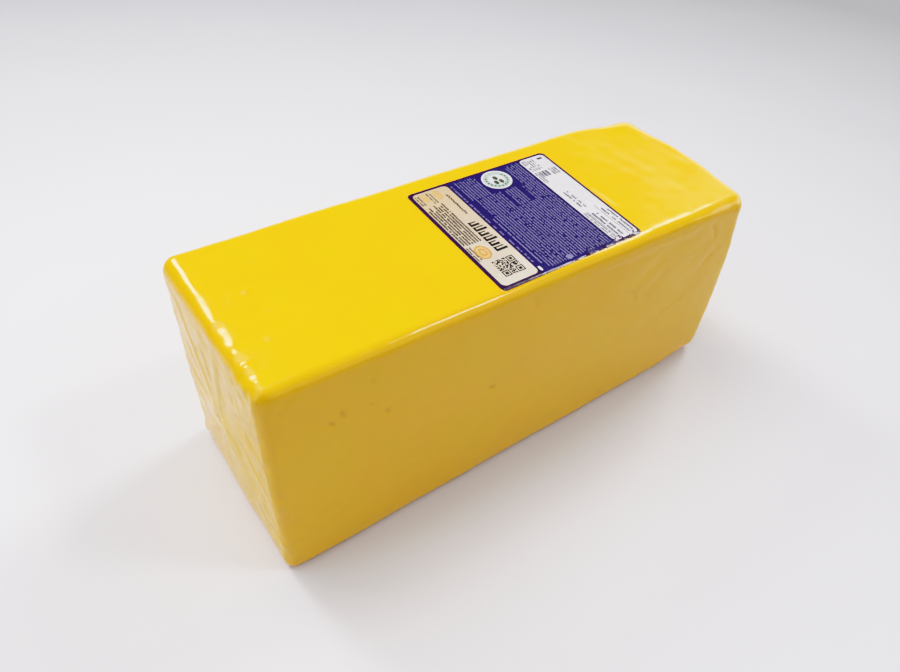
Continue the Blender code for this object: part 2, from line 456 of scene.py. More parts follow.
FRONT_MARKS = Mark.rows(
    Side.FRONT,
    (-134.5, 116.3, -143.9, 107.8, -0.35, 1.5), (-115.6, 93.8, -115.0, 91.0, -0.55, 1.1, True),
    (-121.4, 90.3, -120.0, 88.8, -0.55, 1.1, True), (-94.3, 83.0, -93.6, 81.6, -0.50, 1.1, True),
    (-34.4, 63.2, -32.2, 62.6, -0.60, 1.2, True), (-100.8, 104.4, -100.6, 103.2, -0.40, 1.0, True),
    (-101.8, 90.8, -101.4, 89.8, -0.45, 1.0, True), (-40.5, 57.5, -31.0, 60.5, 0.22, 1.6),
    (-119.5, 70.3, -133.9, 61.8, -0.18, 2.0), (-14.7, 111.3, -11.7, 104.9, -0.40, 1.3),
    (59.5, 83.9, 63.5, 76.4, -0.35, 1.8), (112.2, 57.8, 91.9, 51.1, 0.25, 2.0),
    (117.8, 105.2, 122.9, 97.9, -0.40, 1.8), (80.0, 92.0, 66.0, 84.0, 0.18, 2.4),
    (124.0, 84.0, 119.0, 79.0, -0.30, 1.6), (22.0, 110.5, 104.0, 109.0, 0.30, 1.5),
    (38.0, 106.0, 70.0, 104.5, -0.20, 1.6),
)
BACK_MARKS = Mark.rows(
    Side.BACK,
    (128.0, 96.0, 137.0, 104.0, -0.35, 1.5), (84.0, 71.0, 85.2, 69.0, -0.55, 1.1, True),
    (61.0, 90.0, 60.0, 88.4, -0.50, 1.1, True), (12.0, 52.0, 13.6, 53.2, -0.55, 1.2, True),
    (-38.0, 83.0, -38.6, 81.4, -0.45, 1.0, True), (-66.0, 40.0, -52.0, 46.0, 0.25, 2.0),
    (-118.0, 92.0, -106.0, 100.0, -0.30, 1.8), (-90.0, 109.0, 20.0, 110.5, 0.28, 1.6),
    (104.0, 36.0, 118.0, 28.0, -0.22, 2.0),
)
TOP_MARKS = Mark.rows(
    Side.TOP,
    (-127.2, 8.6, -126.4, 9.2, 0.70, 1.8), (-134.5, 6.0, -133.5, 11.0, 0.40, 2.4),
    (-122.5, -8.0, -121.5, -7.4, 0.45, 1.8), (-131.0, -24.0, -128.5, -22.0, 0.50, 1.8),
    (-114.6, 26.2, -113.8, 27.0, 0.40, 1.8), (-145.9, 14.0, -146.0, 2.0, -0.20, 2.2),
    (-148.5, -3.0, -143.0, -4.0, 0.24, 1.4), (-146.2, -8.0, -146.2, -19.5, -0.54, 3.0),
    (-148.5, -26.0, -144.5, -25.0, 0.16, 1.4), (-146.2, -29.5, -146.2, -31.5, -0.22, 1.8),
    (-148.5, -34.5, -144.5, -33.5, 0.15, 1.3), (-146.2, -38.0, -146.2, -41.5, -0.20, 1.6),
    (-148.5, -45.5, -144.5, -44.0, 0.20, 1.3), (72.0, -49.6, 112.0, -49.2, -0.36, 3.2),
    (84.0, -51.0, 86.0, -47.0, 0.05, 2.4), (97.5, -51.0, 99.5, -47.0, 0.07, 2.2),
)


@dataclass(frozen=True)
class Waves:
    """Soft waves in the film: their height, their length from crest to crest and the seed of their draw."""

    height: float
    length: float
    seed: int

    def relief(self, points: Array) -> Array:
        """Return their height at points on the film, above and below 0."""
        return self.height * soft_noise(points, self.length, self.seed)


@dataclass
class WrappedBlock:
    """The cheese in its film: one closed surface, lofted through rings that close on the two gathers."""

    form: BlockForm
    steps_front: int = 96
    steps_top: int = 84
    steps_back: int = 72
    steps_base: int = 16
    steps_fillet: int = 10
    steps_along: int = 210
    steps_rim: int = 9
    steps_end: int = 42
    swells: Waves = Waves(0.13 * MM, 48 * MM, 7)
    ripples: Waves = Waves(0.026 * MM, 11 * MM, 9)
    ripple_upright: float = 2.0
    rim_waves: Waves = Waves(0.05 * MM, 14 * MM, 5)
    rim_reach: float = 16 * MM
    crumples: Waves = Waves(0.10 * MM, 6 * MM, 3)
    crumple_reach: float = 7 * MM
    crumple_near: Pair = (0.0, 40 * MM)
    base_facing: Pair = (0.3, 0.95)
    ear_place: Triple = (-0.1450, 0.0475, 0.0070)
    ear_height: float = 3.5 * MM
    ear_width: float = 4.5 * MM
    marks: tuple[Mark, ...] = FRONT_MARKS + BACK_MARKS + TOP_MARKS
    shift: Array = field(default_factory=lambda: np.zeros(3))

    def section_loop(self) -> tuple[Array, Array, Array]:
        """Return the points round the section.

        The loop runs up the back, over the top to the front, down it and back along the base, with the
        rounded edges between them. It has fewer points on the base, which is flat.

        Returns:
            Their places on Y and on Z, from -1 to 1, and their direction angles in radians.
        """
        fillet = np.linspace(0.0, 90.0, self.steps_fillet + 1)[1:-1]
        sides = (
            (self.steps_back, (1.0, 1.0), (-1.0, 1.0), 0.0),
            (self.steps_top, (1.0, -1.0), (1.0, 1.0), 90.0),
            (self.steps_front, (-1.0, -1.0), (1.0, -1.0), 180.0),
            (self.steps_base, (-1.0, 1.0), (-1.0, -1.0), 270.0),
        )
        y_parts, z_parts, angle_parts = [], [], []
        for steps, y_run, z_run, angle in sides:
            y_side = np.linspace(*y_run, steps + 1)
            z_side = np.linspace(*z_run, steps + 1)
            y_parts += [y_side, np.full(fillet.size, y_side[-1])]
            z_parts += [z_side, np.full(fillet.size, z_side[-1])]
            angle_parts += [np.full(steps + 1, angle), angle + fillet]
        return np.concatenate(y_parts), np.concatenate(z_parts), np.radians(np.concatenate(angle_parts))

    def rings(self) -> tuple[Array, Array, Array]:
        """Return the rings from the left gather to the right one.

        Returns:
            Their places on X, from -1 to 1, their tilts towards the ends in radians, and how far they have
            closed on the gather, from 0 to 1.
        """
        rim = np.linspace(0.0, 90.0, self.steps_rim + 1)[1:]
        closing = np.linspace(0.0, 1.0, self.steps_end + 1)[1:-1]
        middle = np.linspace(-1.0, 1.0, self.steps_along + 1)
        still, full = np.zeros(middle.size), np.full(closing.size, 90.0)
        x_place = np.concatenate((
            np.full(closing.size + rim.size, -1.0), middle, np.full(closing.size + rim.size, 1.0)))
        tilt = np.concatenate((-full, -rim[::-1], still, rim, full))
        way = np.concatenate((closing[::-1], np.zeros(2 * rim.size + middle.size), closing))
        return x_place, np.radians(tilt), way

    def gather_place(self, end: EndGather) -> Array:
        """Return the gather of an end as a place in the core.

        Args:
            end: the end.

        Returns:
            The place, from -1 to 1 on each axis.
        """
        inner = self.form.inner
        y_place = end.gather[0] / inner[1]
        z_place = (end.gather[1] - self.form.height / 2.0) / inner[2]
        return np.array((float(end.side), y_place, z_place))

    def grid(self) -> tuple[Array, Array, Array, Array]:
        """Return the grid of the film, rings by spokes.

        A point's place is its ring's and its spoke's, drawn in towards the gather by the ring's way. Its
        direction is its spoke's, tilted towards the end.

        Returns:
            The place and the direction of every point, and the tilt and the way of every ring.
        """
        y_place, z_place, angle = self.section_loop()
        x_place, tilt, way = self.rings()
        place = stacked(x_place[:, None], y_place, z_place)
        goal = np.where(
            (x_place < 0.0)[:, None], self.gather_place(LEFT_END), self.gather_place(RIGHT_END))
        place = place + way[:, None, None] * (goal[:, None, :] - place)
        tilt, way = tilt[:, None], way[:, None]
        direction = stacked(np.sin(tilt), np.cos(tilt) * np.cos(angle), np.cos(tilt) * np.sin(angle))
        return place, direction, tilt, way

    def gathered(self, points: Array, reach: float | None = None) -> Array:
        """Return 1 on the ends and their rims, easing to 0 a little way along the long sides."""
        inward = self.form.halves[0] - self.form.edge_radius - np.abs(points[..., 0])
        return smooth_falloff(np.maximum(inward, 0.0), reach or self.rim_reach)

    def end_relief(self, points: Array, tilt: Array, way: Array) -> Array:
        """Return the height of the folds, the seam and the fine wrinkles of the nearer end.

        Args:
            points: places on the bare film, in metres.
            tilt: their tilts towards the end.
            way: how far their rings have closed on the gather.

        Returns:
            Heights in metres.
        """
        relief = np.zeros(points.shape[:-1])
        rim = 1.0 - (1.0 - LEFT_END.pleat_at_rim) * smooth_falloff(way, LEFT_END.rim_way)
        for end in (LEFT_END, RIGHT_END):
            near = np.sign(points[..., 0]) == end.side
            relief += near * end.pleat_relief(points) * rim * np.abs(np.sin(tilt))
            relief += near * end.wrinkle_relief(points) * self.gathered(points)
        return relief

    def relief(self, points: Array, direction: Array, tilt: Array, way: Array, cover: Array) -> Array:
        """Return how far the film stands off the bare form.

        It is the sum of the gathered film of the ends, waves along their rims, a crumpled near half of
        the left rim, long swells and short ripples on all sides, the marks and the ear of film. Under the
        label and on the base only the bare form is left.

        Args:
            points: places on the bare film, in metres.
            direction: the unit vectors out of the film.
            tilt: the tilts towards the ends.
            way: how far the rings have closed on the gather.
            cover: 1 under the label and 0 elsewhere.

        Returns:
            Heights in metres.
        """
        relief = self.end_relief(points, tilt, way)
        crumpled = smooth_rise(-points[..., 1], *self.crumple_near) * (points[..., 0] < 0.0)
        crumpled *= self.gathered(points, self.crumple_reach)
        relief += crumpled * self.crumples.relief(points)
        relief += self.gathered(points) * self.rim_waves.relief(points)
        relief += self.swells.relief(points)
        upright = 1.0 - np.abs(direction[..., 2])
        relief += (1.0 + (self.ripple_upright - 1.0) * upright) * self.ripples.relief(points)
        for mark in self.marks:
            relief += mark.relief(points, direction)
        base = smooth_rise(-direction[..., 2], *self.base_facing)
        relief *= (1.0 - base) * (1.0 - cover)
        away = np.linalg.norm(points - np.array(self.ear_place), axis=-1)
        return relief + self.ear_height * np.exp(-(away / self.ear_width) ** 2)

    def faces(self, rings: int, around: int) -> list:
        """Return the faces between the rings, and the fans that close the two gathers.

        Args:
            rings: how many rings there are.
            around: how many points a ring has.

        Returns:
            Corner numbers of each face. The two gathers are the last vertices.
        """
        ring = np.arange(rings - 1)[:, None] * around
        spoke = np.arange(around)
        after = (spoke + 1) % around
        quads = stacked(ring + spoke, ring + after, ring + around + after, ring + around + spoke)
        left, last = rings * around, (rings - 1) * around
        left_fan = stacked(left, after, spoke)
        right_fan = stacked(left + 1, last + spoke, last + after)
        return quads.reshape(-1, 4).tolist() + left_fan.tolist() + right_fan.tolist()

    def build(self, label: "Label", material: Material) -> Object:
        """Build the film, slide it onto the solid and let it stand for the solid.

        Args:
            label: the label, whose outline the film stays flat under.
            material: the film's finish.

        Returns:
            The film. self.shift is then the slide from the block's own frame to the solids' frame.
        """
        place, direction, tilt, way = self.grid()
        bare = self.form.points(place, direction)
        cover = label.cover(bare, direction)
        relief = self.relief(bare, direction, tilt, way, cover)
        points = bare + relief[..., None] * direction
        points[..., 2] = np.maximum(points[..., 2], 0.0)
        poles = np.stack([
            self.form.points(self.gather_place(end), np.array((float(end.side), 0.0, 0.0)))
            for end in (LEFT_END, RIGHT_END)])
        vertices = np.concatenate((points.reshape(-1, 3), poles))
        low, high = (np.array(corner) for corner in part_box("gouda_block"))
        self.shift = (low + high) / 2.0 - (vertices.min(axis=0) + vertices.max(axis=0)) / 2.0
        self.shift[2] = 0.0
        inside = np.clip(vertices + self.shift, low, high)
        film = make_piece("film", inside, self.faces(*points.shape[:2]), material)
        pits = -sum(mark.relief(bare, direction) for mark in self.marks if mark.pit) / MM
        # upright carries the painted shade tone of the sides, pit the painted shade in the pits, and fold
        # with gathered the painted sheen on the crests.
        layers = {
            "fold": relief / MM,
            "gathered": self.gathered(bare),
            "upright": 1.0 - np.abs(direction[..., 2]),
            "pit": pits,
        }
        for name, values in layers.items():
            give_attribute(film, name, np.append(values.ravel(), (values[0, 0], values[-1, 0])))
        merge_doubles(film)
        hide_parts("gouda_block")
        return film


@dataclass
class Shape:
    """Closed print shapes: flat points on the label, the lift of each, and their faces."""

    flat: Array
    lift: Array
    quads: Array

    @staticmethod
    def join(shapes: list["Shape"]) -> "Shape":
        """Return many shapes as one.

        Args:
            shapes: the shapes, in the order in which their points are numbered on.

        Returns:
            One shape with all their points and faces.
        """
        starts = np.cumsum([0] + [len(shape.flat) for shape in shapes[:-1]])
        return Shape(
            np.concatenate([shape.flat for shape in shapes]),
            np.concatenate([shape.lift for shape in shapes]),
            np.concatenate([shape.quads + start for shape, start in zip(shapes, starts)]),
        )


def slab(flat: Array, low: float, high: float, wrap: bool = False) -> Shape:
    """Return a closed sheet over a flat grid.

    Args:
        flat: grid of flat points, rows by columns, counter-clockwise seen from above.
        low: lift of its lower face.
        high: lift of its upper face.
        wrap: True where the last row joins the first, as round a ring.

    Returns:
        The upper and lower faces, joined by walls along their open edges.
    """
    rows, columns = flat.shape[:2]
    number = np.arange(rows * columns).reshape(rows, columns)
    grid = np.concatenate((number, number[:1])) if wrap else number
    top = stacked(grid[:-1, :-1], grid[:-1, 1:], grid[1:, 1:], grid[1:, :-1]).reshape(-1, 4)
    bottom = top[:, ::-1] + rows * columns
    edges = [(grid[1:, 0], grid[:-1, 0]), (grid[:-1, -1], grid[1:, -1])]
    if not wrap:
        edges += [(grid[0, :-1], grid[0, 1:]), (grid[-1, 1:], grid[-1, :-1])]
    walls = [stacked(start + rows * columns, end + rows * columns, end, start) for start, end in edges]
    points = flat.reshape(-1, 2)
    lift = np.repeat((high, low), rows * columns)
    return Shape(np.concatenate((points, points)), lift, np.concatenate([top, bottom] + walls))


def rounded_panel(left: float, right: float, near: float, far: float, radius: float,
                  cell: float = 2.0) -> Array:
    """Return a grid over a rectangle with rounded corners, in millimetres on the label.

    Each row runs from the left side to the right. Near the ends the row draws in by the radius less the
    height of a circle's arc there.

    Args:
        left: its left side, and right, near and far its others.
        radius: radius of its corners.
        cell: about how far apart the points are.

    Returns:
        Flat points in metres, rows by columns.
    """
    turn = np.linspace(0.0, math.pi / 2.0, 7)
    bend = radius * (1.0 - np.cos(turn))
    straight = np.linspace(near + radius, far - radius, 2 + int((far - near) / cell))[1:-1]
    rows = np.concatenate((near + bend, straight, far - bend[::-1]))
    depth = np.minimum(rows - near, far - rows)
    inset = radius - np.sqrt(np.maximum(radius ** 2 - np.maximum(radius - depth, 0.0) ** 2, 0.0))
    share = np.linspace(0.0, 1.0, 2 + int((right - left) / cell))
    across = (left + inset)[:, None] + share * (right - left - 2.0 * inset)[:, None]
    return stacked(across, rows[:, None]) * MM


def disc(middle: Pair, radii: Pair, steps: int = 10) -> Array:
    """Return a grid over an oval, in millimetres on the label.

    It is a square grid from -1 to 1 whose sides are bent to the circle: each value times the root of one
    less half the square of the other.

    Args:
        middle: its middle.
        radii: its half width and half depth.
        steps: how many cells each way it has.

    Returns:
        Flat points in metres, rows by columns.
    """
    side = np.sin(np.linspace(-math.pi / 2.0, math.pi / 2.0, steps + 1))
    right, far = np.meshgrid(side, side)
    across = right * np.sqrt(1.0 - far ** 2 / 2.0)
    along = far * np.sqrt(1.0 - right ** 2 / 2.0)
    return (stacked(across, along) * radii + middle) * MM


def ring(middle: Pair, inner: Pair, outer: Pair,
         steps: int = 48) -> Array:
    """Return a grid over the space between two ovals, in millimetres on the label.

    Args:
        middle: the middle of both.
        inner: half width and half depth of the inner one.
        outer: half width and half depth of the outer one.
        steps: how many rows it has, one for each angle.

    Returns:
        Flat points in metres, rows by columns.
    """
    turn = np.linspace(0.0, 2.0 * math.pi, steps, endpoint=False)
    spoke = stacked(np.cos(turn), np.sin(turn))
    return (np.stack((spoke * inner, spoke * outer), axis=1) + middle) * MM


def bars(left: Array, right: Array, near: Array, far: Array, low: float, high: float) -> Shape:
    """Return many small closed bars.

    Args:
        left: their left sides, and right, near and far their others, in millimetres on the label.
        low: lift of their lower faces.
        high: lift of their upper faces.

    Returns:
        The bars as one shape, each with eight points.
    """
    corners = ((left, near), (right, near), (right, far), (left, far))
    sides = np.stack([stacked(*corner) for corner in corners], axis=1) * MM
    count = len(sides)
    flat = np.concatenate((sides, sides), axis=1).reshape(-1, 2)
    lift = np.tile(np.repeat((high, low), 4), count)
    box = np.array((
        (0, 1, 2, 3), (7, 6, 5, 4), (4, 5, 1, 0), (5, 6, 2, 1), (6, 7, 3, 2), (7, 4, 0, 3)))
    quads = (np.arange(count) * 8)[:, None, None] + box
    return Shape(flat, lift, quads.reshape(-1, 4))


class Ink(Enum):
    """Inks of the label: linear colour at its far side, the same at its near edge, and roughness."""

    BORDER = ((0.026, 0.005, 0.046), (0.026, 0.005, 0.046), 0.12)
    VIOLET = ((0.014, 0.006, 0.108), (0.014, 0.006, 0.108), 0.12)
    LILAC = ((0.195, 0.180, 0.365), (0.215, 0.200, 0.375), 0.24)
    CREAM = ((0.560, 0.400, 0.215), (0.635, 0.570, 0.500), 0.20)
    WHITE = ((0.640, 0.610, 0.640), (0.660, 0.640, 0.660), 0.20)
    PEACH = ((0.620, 0.370, 0.140), (0.640, 0.440, 0.200), 0.24)
    ORANGE = ((0.600, 0.260, 0.030), (0.600, 0.260, 0.030), 0.24)
    UMBER = ((0.050, 0.036, 0.026), (0.060, 0.045, 0.042), 0.24)
    SLATE = ((0.075, 0.065, 0.110), (0.080, 0.072, 0.110), 0.24)
    BLACK = ((0.010, 0.007, 0.008), (0.010, 0.008, 0.012), 0.20)
    MINT = ((0.380, 0.490, 0.430), (0.380, 0.490, 0.430), 0.22)
    GREEN = ((0.040, 0.060, 0.026), (0.040, 0.060, 0.026), 0.24)


@dataclass(frozen=True)
class PrintRows:
    """Rows of small plain strokes that stand for fine print.

    The rows run from near to far, and the strokes stand across them. Sizes are millimetres on the label.
    """

    left: float
    right: float
    near: float
    far: float
    pitch: float
    cap: float
    advance: float
    seed: int
    filled: float = 0.90
    ragged: float = 0.15
    weight: float = 0.42
    early: float = 0.4
    heights: tuple[float, ...] = (0.8, 0.8, 0.85, 1.0)
    widths: Pair = (0.8, 1.2)
    joint_rises: tuple[float, ...] = (0.0, 0.25, 0.5)
    joint_height: float = 0.34
    joint_reach: float = 1.02
    margin: float = 0.9

    def strokes(self, low: float, high: float) -> Shape:
        """Return the strokes: for each place in a row an upright one, and a bar on to the next place.

        A seeded draw leaves gaps between words, varies the heights and ends some rows early.

        Args:
            low: lift of their lower faces.
            high: lift of their upper faces.

        Returns:
            The strokes as one shape.
        """
        draw = np.random.default_rng(self.seed)
        row = np.arange(self.left, self.right - self.margin * self.cap, self.pitch)
        slot = np.arange(self.near, self.far - self.margin * self.advance, self.advance)
        row, slot = np.meshgrid(row, slot, indexing="ij")
        shown = draw.random(row.shape) < self.filled
        ends = 1.0 - self.ragged * draw.random((len(row), 1)) * (draw.random((len(row), 1)) < self.early)
        shown &= slot < self.near + ends * (self.far - self.near)
        row, slot = row[shown], slot[shown]
        height = self.cap * draw.choice(self.heights, row.size)
        width = self.advance * draw.uniform(*self.widths, row.size) * self.weight
        upright = bars(row, row + height, slot, slot + width, low, high)
        rise = row + self.cap * draw.choice(self.joint_rises, row.size)
        joint = bars(rise, rise + self.joint_height * self.cap,
                     slot + width, slot + self.joint_reach * self.advance, low, high)
        return Shape.join([upright, joint])


@dataclass
class Label:
    """The label: a thin sheet on the film, and its print as shapes that lie on the sheet.

    Places on it are millimetres from its left side and from its near edge.
    """

    form: BlockForm
    corners: tuple[Pair, ...] = (
        (-0.0287, -0.0497), (0.0638, -0.0482), (0.0663, 0.0386), (-0.0260, 0.0380))
    width: float = 92.4
    depth: float = 87.3
    outline: tuple[float, float, float, float] = (-0.4, 92.8, -0.1, 87.8)
    corner_radius: float = 2.8
    sunk: float = 0.06 * MM
    thickness: float = 0.20 * MM
    layer: float = 0.02 * MM
    fade: float = 3.0 * MM
    crinkle_height: float = 0.22 * MM
    crinkle_least: float = 0.05
    crinkle_rise: Pair = (36 * MM, 64 * MM)
    crinkle_length: float = 4.2 * MM
    crinkle_reach: float = 6.0 * MM
    crinkle_bias: float = 0.4
    crinkle_seed: int = 31
    cover_facing: Pair = (0.75, 0.95)
    sharp_angle: float = 40.0
    code_filled: float = 0.55

    def on_sheet(self, flat: Array) -> Array:
        """Return label points as X and the way across the film.

        A point goes to the mix of the four corners by its share of the width and of the depth.

        Args:
            flat: places on the label, in metres from its left side and its near edge.

        Returns:
            X and the way across, in metres, on the last axis.
        """
        share = flat[..., 0:1] / (self.width * MM)
        rise = flat[..., 1:2] / (self.depth * MM)
        near_left, near_right, far_right, far_left = (np.array(corner) for corner in self.corners)
        near = near_left + share * (near_right - near_left)
        far = far_left + share * (far_right - far_left)
        return near + rise * (far - near)

    def cover(self, points: Array, direction: Array) -> Array:
        """Return 1 where the label lies on the film, easing to 0 just outside it.

        Args:
            points: places on the bare film, in metres.
            direction: the unit vectors out of the film.

        Returns:
            Shares from 0 to 1.
        """
        low = np.min(self.corners, axis=0)
        high = np.max(self.corners, axis=0)
        out_x = np.maximum(np.maximum(low[0] - points[..., 0], points[..., 0] - high[0]), 0.0)
        out_y = np.maximum(points[..., 1] - high[1], 0.0)
        inside = smooth_falloff(np.hypot(out_x, out_y), self.fade)
        return inside * smooth_rise(direction[..., 2], *self.cover_facing)

    def crinkle(self, flat: Array) -> Array:
        """Return the small waves of the label where it bends over the edge, never below 0.

        They are low on the left and grow towards the right.

        Args:
            flat: places on the label, in metres.

        Returns:
            Heights in metres.
        """
        spread = stacked(flat[..., 0], flat[..., 1], 0.0)
        noise = soft_noise(spread, self.crinkle_length, self.crinkle_seed)
        wave = np.maximum(noise + self.crinkle_bias, 0.0)
        grown = smooth_rise(flat[..., 0], *self.crinkle_rise)
        grown = self.crinkle_least + (1.0 - self.crinkle_least) * grown
        return self.crinkle_height * grown * wave * smooth_falloff(flat[..., 1], self.crinkle_reach)

    def lay(self, name: str, shape: Shape, material: Material, shift: Array) -> Object:
        """Return a print shape as a piece that lies on the film.

        Args:
            name: name of the piece.
            shape: the shape, flat on the label.
            material: its ink.
            shift: slide from the block's own frame to the solids' frame.

        Returns:
            The piece, with how near each vertex lies as the attribute near.
        """
        lift = shape.lift + self.crinkle(shape.flat)
        points = self.form.sheet_points(self.on_sheet(shape.flat), lift)
        piece = make_piece(name, points + shift, shape.quads.tolist(), material)
        piece.data.set_sharp_from_angle(angle=math.radians(self.sharp_angle))
        give_attribute(piece, "near", 1.0 - shape.flat[:, 1] / (self.depth * MM))
        return piece

    def heights(self, level: int) -> Pair:
        """Return the lowest and highest lift of a print shape, which starts inside the sheet."""
        return 0.5 * self.thickness, self.thickness + level * self.layer

    def mark(self, flat: Array, level: int = 2, wrap: bool = False) -> Shape:
        """Return a print shape over a flat grid. Level 1 is a field of colour, and others lie on it."""
        return slab(flat, *self.heights(level), wrap)

    def ink_bars(self, sides: list[tuple[float, float, float, float]]) -> Shape:
        """Return plain bars from a list of their left, right, near and far sides."""
        left, right, near, far = np.array(sides, float).T
        return bars(left, right, near, far, *self.heights(3))

    def ink_rows(self, *rows: PrintRows) -> list[Shape]:
        """Return the strokes of blocks of fine print."""
        return [block.strokes(*self.heights(3)) for block in rows]

    def code_squares(self, left: float, near: float, size: float, count: int, seed: int) -> Shape:
        """Return a square of small dark blocks, drawn at random, with a plain frame in three corners.

        Args:
            left: its left side.
            near: its near side.
            size: its width and depth.
            count: how many blocks fit along a side.
            seed: seed of the draw.

        Returns:
            The blocks as one shape.
        """
        draw = np.random.default_rng(seed)
        row, column = np.meshgrid(np.arange(count), np.arange(count), indexing="ij")
        shown = draw.random((count, count)) < self.code_filled
        for middle in ((3, 3), (3, count - 4), (count - 4, count - 4)):
            reach = np.maximum(np.abs(row - middle[0]), np.abs(column - middle[1]))
            shown = np.where(reach <= 4, (reach <= 1) | (reach == 3), shown)
        cell = size / count
        column, row = column[shown] * cell + left, row[shown] * cell + near
        return bars(column, column + cell, row, row + cell, *self.heights(3))

    def bold_blocks(self, left: float, right: float, near: float, far: float, count: int) -> Shape:
        """Return a row of plain bold blocks, each a thick bar and a thin bar on one foot.

        Args:
            left: left side of the row, and right, near and far its others. Every other block is lower.
            count: how many blocks there are.

        Returns:
            The blocks as one shape.
        """
        lower, foot, shorter = 1.6, 1.3, 1.0
        thick, thin, joined = 0.36, (0.60, 0.78), 0.84
        sides = []
        step = (far - near) / count
        for number in range(count):
            start, height = near + number * step, right - number % 2 * lower
            sides += [
                (left, height, start, start + thick * step),
                (left, height - shorter, start + thin[0] * step, start + thin[1] * step),
                (left, left + foot, start, start + joined * step)]
        return self.ink_bars(sides)

    def layers(self) -> dict[Ink, list[Shape]]:
        """Lay out the print.

        Returns:
            The shapes of each ink.
        """
        emblem, token = (51.9, 76.9), (8.0, 28.0)
        leaves = ((50.2, 74.6), (53.6, 74.6), (51.9, 78.6))
        arc, turns = 6.3, np.linspace(2.6, 6.8, 13)
        dots = [(emblem[0] + arc * math.cos(turn), emblem[1] + arc * math.sin(turn)) for turn in turns]
        return {
            Ink.VIOLET: [self.mark(rounded_panel(24.3, 73.1, 0.6, 86.6, 0.8), 1)],
            Ink.CREAM: [self.mark(rounded_panel(1.7, 23.6, 2.3, 86.0, 2.8), 1)],
            Ink.WHITE: [
                self.mark(rounded_panel(73.8, 91.4, 1.6, 86.2, 2.6), 1),
                self.mark(ring(emblem, (7.6, 7.6), (8.9, 8.9)), 3, wrap=True),
                self.mark(disc(emblem, (5.0, 5.0)), 3),
                self.mark(disc((25.5, 4.2), (0.8, 1.9)), 2),
            ],
            Ink.LILAC: self.ink_rows(
                PrintRows(30.4, 72.8, 2.6, 51.2, 1.7, 0.84, 0.85, 41, ragged=0.05),
                PrintRows(30.4, 46.6, 51.2, 66.6, 1.7, 0.84, 0.85, 42),
                PrintRows(49.4, 58.6, 51.2, 66.6, 1.7, 0.84, 0.85, 43),
                PrintRows(60.8, 72.8, 51.2, 66.6, 1.7, 0.84, 0.85, 44),
                PrintRows(28.5, 42.2, 66.6, 85.6, 1.7, 0.84, 0.85, 45),
                PrintRows(62.7, 72.8, 66.6, 85.6, 1.7, 0.84, 0.85, 46),
                PrintRows(25.0, 26.4, 8.0, 85.0, 1.6, 1.0, 0.9, 47, filled=0.7),
                PrintRows(28.2, 29.6, 7.0, 48.0, 1.6, 0.95, 0.8, 48, weight=0.6),
            ) + [self.mark(disc((44.1, 3.9), (1.8, 1.8)))],
            Ink.MINT: [self.mark(disc(emblem, (7.8, 7.8)))],
            Ink.GREEN: [self.mark(disc(leaf, (1.3, 2.0), 6), 4) for leaf in leaves]
            + [self.mark(disc(dot, (0.5, 0.7), 4), 3) for dot in dots],
            Ink.PEACH: [
                self.mark(rounded_panel(5.4, 8.6, 77.0, 84.0, 1.2)),
                self.mark(rounded_panel(13.0, 17.0, 76.5, 84.4, 1.4)),
                self.mark(disc(token, (3.6, 5.0))),
            ],
            Ink.ORANGE: [
                self.mark(ring(token, (3.2, 4.6), (4.0, 5.4)), 3, wrap=True),
                self.mark(ring(token, (1.2, 2.0), (1.9, 3.0)), 3, wrap=True),
            ],
            Ink.UMBER: self.ink_rows(
                PrintRows(2.4, 14.4, 36.0, 73.0, 1.6, 1.1, 0.8, 51, filled=0.92, weight=0.8),
                PrintRows(2.4, 5.0, 75.0, 84.4, 1.6, 1.0, 0.8, 52, weight=0.6),
                PrintRows(9.4, 12.8, 74.0, 84.6, 1.7, 0.9, 0.8, 53, weight=0.6),
                PrintRows(18.6, 21.2, 58.5, 79.0, 2.4, 1.7, 1.0, 54, filled=0.96, weight=0.4),
                PrintRows(2.0, 4.8, 22.6, 34.6, 1.6, 1.0, 0.8, 55, filled=0.92, weight=0.6),
            ),
            Ink.SLATE: self.ink_rows(
                PrintRows(75.0, 83.6, 73.4, 84.6, 1.7, 1.0, 0.8, 61, weight=0.7, filled=0.76),
                PrintRows(85.2, 90.4, 65.6, 72.6, 1.7, 1.1, 0.8, 62, weight=0.6),
                PrintRows(74.8, 77.4, 60.6, 71.8, 1.5, 1.0, 0.8, 63, weight=0.6),
                PrintRows(77.4, 82.6, 32.0, 50.0, 2.3, 1.3, 1.4, 64, filled=0.7, weight=0.6),
                PrintRows(74.6, 77.5, 3.6, 28.0, 1.6, 1.0, 0.9, 65, weight=0.6),
                PrintRows(78.6, 84.0, 4.0, 28.0, 2.6, 1.6, 1.1, 66, filled=0.85, weight=0.66),
                PrintRows(86.4, 90.6, 4.0, 28.0, 2.6, 1.5, 1.1, 67, filled=0.85, weight=0.66),
            ) + [self.ink_bars([
                (77.5, 77.7, 3.0, 28.0), (85.0, 85.3, 3.0, 31.0), (85.6, 89.0, 82.2, 84.0),
                (77.6, 78.4, 66.0, 71.4), (78.8, 79.2, 66.0, 71.4), (79.6, 80.8, 66.0, 71.4),
                (81.2, 81.6, 66.0, 71.4), (82.0, 83.2, 66.0, 71.4)])],
            Ink.BLACK: [
                self.code_squares(7.0, 7.4, 12.3, 21, 71),
                self.bold_blocks(14.6, 21.6, 25.0, 52.0, 6),
            ],
        }

    def build(self, inks: dict[Ink, Material], shift: Array) -> list[Object]:
        """Build the sheet, which stands for the solid label, and one piece of print for each ink.

        Args:
            inks: the material of each ink.
            shift: slide from the block's own frame to the solids' frame.

        Returns:
            The sheet and the pieces of print.
        """
        outline = rounded_panel(*self.outline, self.corner_radius, cell=1.2)
        sheet = self.lay("label_sheet", slab(outline, -self.sunk, self.thickness), inks[Ink.BORDER], shift)
        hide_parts("label")
        pieces = [sheet]
        for ink, shapes in self.layers().items():
            pieces.append(self.lay("print_" + ink.name.lower(), Shape.join(shapes), inks[ink], shift))
        return pieces


